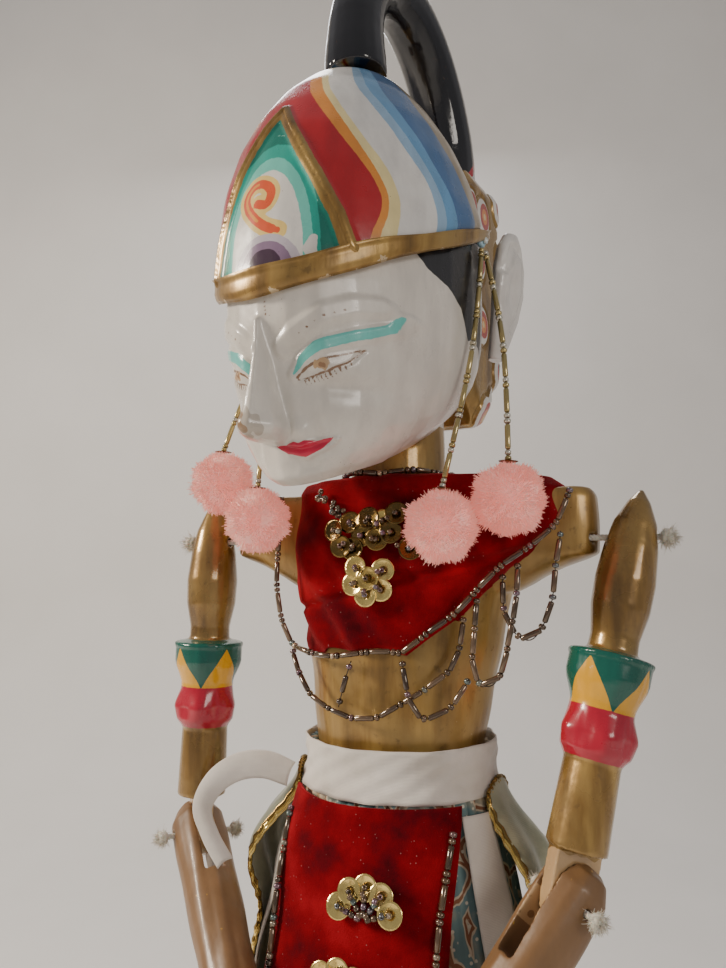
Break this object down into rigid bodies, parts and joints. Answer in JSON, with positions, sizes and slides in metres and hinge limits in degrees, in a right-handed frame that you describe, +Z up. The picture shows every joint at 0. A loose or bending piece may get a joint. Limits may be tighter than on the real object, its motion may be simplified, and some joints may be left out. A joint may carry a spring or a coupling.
{
  "type": "rod puppet",
  "caption": "Carved wooden rod puppet with painted head, striped crown, jointed arms, velvet and beaded costume and a skirt, standing on a turned wooden base.",
  "frame": {"origin": "centre of the underside of the display base, on the rod axis", "axes": "+Z up along the central rod; the chest faces -Y; +X is the puppet's own left"},
  "size_m": [0.203, 0.1735, 0.6645],
  "materials": {
    "stand_wood": "dark stained and waxed turned wood",
    "raw_wood": "bare light wood, handled",
    "bronze_paint": "wood painted gold-bronze, worn and streaked",
    "brown_paint": "wood painted matte brown bronze with gold flakes showing",
    "white_lacquer": "wood painted glossy white",
    "crown_paint": "wood painted in glossy coloured stripes with gold rims",
    "black_lacquer": "wood painted high-gloss black",
    "red_velvet": "red cotton velvet",
    "white_ribbon": "off-white satin ribbon",
    "sage_satin": "sage satin with gold lurex trim",
    "batik": "printed cotton batik",
    "dark_beads": "dark iridescent glass beads",
    "gold_beads": "gold-lined glass bugle beads",
    "gold_sequins": "metallised gold sequins",
    "pink_wool": "pink wool pompom",
    "cotton_twine": "twisted cotton cord, knotted and frayed"
  },
  "bodies": {
    "stand": {"display_base": "stand_wood"},
    "torso": {"torso": "bronze_paint", "shoulder_cord": "cotton_twine", "velvet_bib": "red_velvet", "bib_bead_edging": "dark_beads", "neck_beads": "dark_beads", "bead_link_front": "dark_beads", "chest_sequins_upper": "gold_sequins", "chest_sequins_lower": "gold_sequins", "bead_loop_front_long": "dark_beads", "bead_loop_front_short": "dark_beads", "bead_loop_side_inner": "dark_beads", "bead_loop_side_outer": "dark_beads", "skirt": "batik", "waist_ribbon": "white_ribbon", "ribbon_loop": "white_ribbon", "ribbon_tail_left": "white_ribbon", "ribbon_tail_right": "white_ribbon", "apron_panel": "red_velvet", "apron_beads_left": "dark_beads", "apron_beads_right": "dark_beads", "apron_sequins_upper": "gold_sequins", "apron_sequins_lower": "gold_sequins", "hip_sash_left": "sage_satin", "hip_sash_right": "sage_satin", "earring_string_left_front": "gold_beads", "earring_string_left_rear": "gold_beads", "earring_string_right_front": "gold_beads", "earring_string_right_rear": "gold_beads", "pompom_left_front": "pink_wool", "pompom_left_rear": "pink_wool", "pompom_right_front": "pink_wool", "pompom_right_rear": "pink_wool"},
    "head": {"central_rod": "raw_wood", "head_carving": "white_lacquer", "crown": "crown_paint", "hair_curl": "black_lacquer", "back_ornament": "crown_paint", "ear_left": "white_lacquer", "ear_right": "white_lacquer", "ear_pin_left": "gold_beads", "ear_pin_right": "gold_beads"},
    "upper_arm_left": {"upper_arm_left": "bronze_paint", "elbow_cord_left": "cotton_twine"},
    "forearm_left": {"forearm_left": "brown_paint", "wrist_cord_left": "cotton_twine"},
    "hand_left": {"hand_left": "bronze_paint"},
    "control_rod_left": {"control_rod_left": "raw_wood"},
    "upper_arm_right": {"upper_arm_right": "bronze_paint", "elbow_cord_right": "cotton_twine"},
    "forearm_right": {"forearm_right": "brown_paint", "wrist_cord_right": "cotton_twine"},
    "hand_right": {"hand_right": "bronze_paint"},
    "control_rod_right": {"control_rod_right": "raw_wood"}
  },
  "joints": [
    {"name": "puppet_lift", "type": "slide", "parent": "stand", "child": "torso", "axis": [0, 0, 1], "range_m": [0, 0.04]},
    {"name": "head_turn", "type": "hinge", "parent": "torso", "child": "head", "pos_m": [0, 0, 0.43], "axis": [0, 0, 1], "range_deg": [-15, 35], "deforming": ["earring_string_left_front", "earring_string_left_rear", "earring_string_right_front", "earring_string_right_rear"]},
    {"name": "shoulder_left", "type": "hinge", "parent": "torso", "child": "upper_arm_left", "pos_m": [0.0906, -0.0098, 0.411], "axis": [-1, 0, 0], "range_deg": [0, 85]},
    {"name": "elbow_left", "type": "hinge", "parent": "upper_arm_left", "child": "forearm_left", "pos_m": [0.0664, -0.0334, 0.29482], "axis": [-0.6635, 0.748, -0.0137], "range_deg": [-10, 50]},
    {"name": "wrist_left", "type": "hinge", "parent": "forearm_left", "child": "hand_left", "pos_m": [0.01278, -0.08243, 0.21491], "axis": [-0.6635, 0.748, -0.0137], "range_deg": [-30, 40]},
    {"name": "control_rod_left", "type": "hinge", "parent": "hand_left", "child": "control_rod_left", "pos_m": [0.01884, -0.08927, 0.19003], "axis": [-0.6635, 0.748, -0.0137], "range_deg": [-20, 35]},
    {"name": "shoulder_right", "type": "hinge", "parent": "torso", "child": "upper_arm_right", "pos_m": [-0.0816, -0.0098, 0.411], "axis": [-1, 0, 0], "range_deg": [0, 100]},
    {"name": "elbow_right", "type": "hinge", "parent": "upper_arm_right", "child": "forearm_right", "pos_m": [-0.08426, -0.01198, 0.29005], "axis": [0.6813, 0.7315, -0.0282], "range_deg": [-50, 8], "deforming": ["ribbon_loop"]},
    {"name": "wrist_right", "type": "hinge", "parent": "forearm_right", "child": "hand_right", "pos_m": [-0.01831, -0.0756, 0.23289], "axis": [0.6813, 0.7315, -0.0282], "range_deg": [-15, 10]},
    {"name": "control_rod_right", "type": "hinge", "parent": "hand_right", "child": "control_rod_right", "pos_m": [-0.02479, -0.08255, 0.20815], "axis": [0.6813, 0.7315, -0.0282], "range_deg": [-20, 8]}
  ]
}
